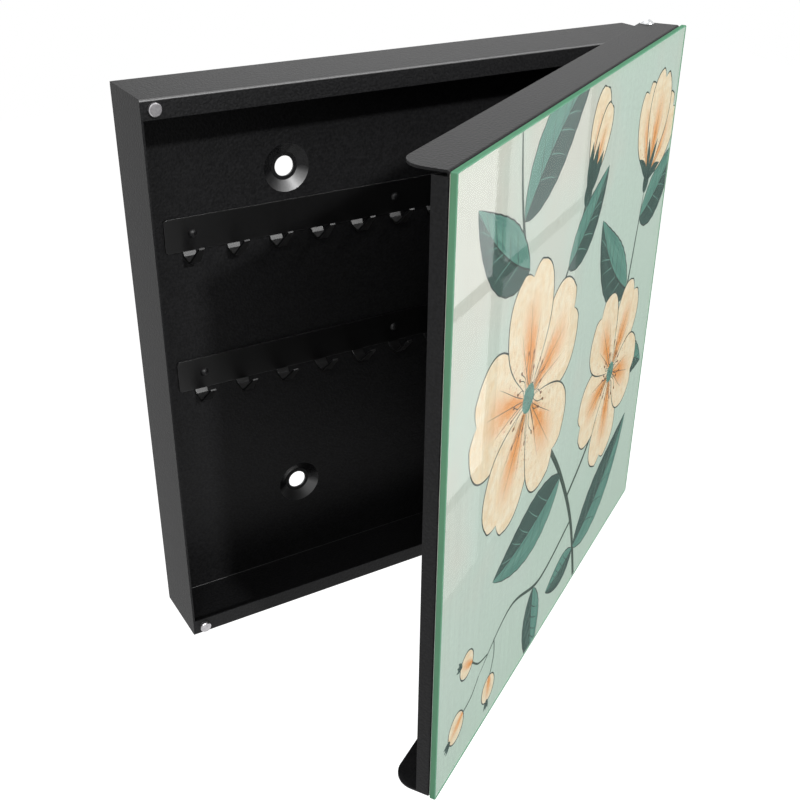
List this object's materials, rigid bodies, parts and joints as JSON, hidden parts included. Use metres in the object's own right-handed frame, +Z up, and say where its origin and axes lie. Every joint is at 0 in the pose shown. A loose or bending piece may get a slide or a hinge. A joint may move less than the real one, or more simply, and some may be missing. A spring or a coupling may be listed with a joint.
{
  "type": "wall key box",
  "caption": "Shallow wall cabinet for keys: a folded steel tray with two rows of hooks, closed by a hinged door with a printed glass front that magnets hold shut.",
  "frame": {"origin": "centre of the four wall-screw holes, in the plane of the wall", "axes": "+X to the right of someone facing the wall, +Y into the wall, +Z up"},
  "size_m": [0.308, 0.204, 0.3048],
  "materials": {
    "tray_coat": "black powder coat, fine texture, satin",
    "rail_coat": "black powder coat, fine texture, satin",
    "rivet_coat": "black powder coat, satin",
    "magnet_plating": "nickel plating, slightly dull",
    "pin_steel": "bright zinc-plated steel",
    "washer_nylon": "white nylon",
    "clip_steel": "spring steel, zinc plated",
    "door_coat": "black powder coat, fine texture, satin",
    "front_glass": "clear float glass, polished faces, greenish edges",
    "print_film": "printed film, pale sage botanical design",
    "bonding_tape": "white foam mounting tape"
  },
  "bodies": {
    "housing": {"tray": "tray_coat", "upper_hook_rail": "rail_coat", "lower_hook_rail": "rail_coat", "upper_rivet_left": "rivet_coat", "upper_rivet_middle": "rivet_coat", "upper_rivet_right": "rivet_coat", "lower_rivet_left": "rivet_coat", "lower_rivet_middle": "rivet_coat", "lower_rivet_right": "rivet_coat", "upper_magnet": "magnet_plating", "lower_magnet": "magnet_plating", "upper_hinge_pin": "pin_steel", "lower_hinge_pin": "pin_steel", "upper_hinge_washer": "washer_nylon", "lower_hinge_washer": "washer_nylon", "upper_pin_clip": "clip_steel", "lower_pin_clip": "clip_steel"},
    "door": {"door_panel": "door_coat", "glass_panel": "front_glass", "print_film": "print_film", "tape_top": "bonding_tape", "tape_bottom": "bonding_tape", "tape_left": "bonding_tape", "tape_right": "bonding_tape"}
  },
  "joints": [
    {"name": "door_hinge", "type": "hinge", "parent": "housing", "child": "door", "pos_m": [0.1435, -0.03, 0], "axis": [0, 0, 1], "range_deg": [-32.4, 107.6]}
  ]
}
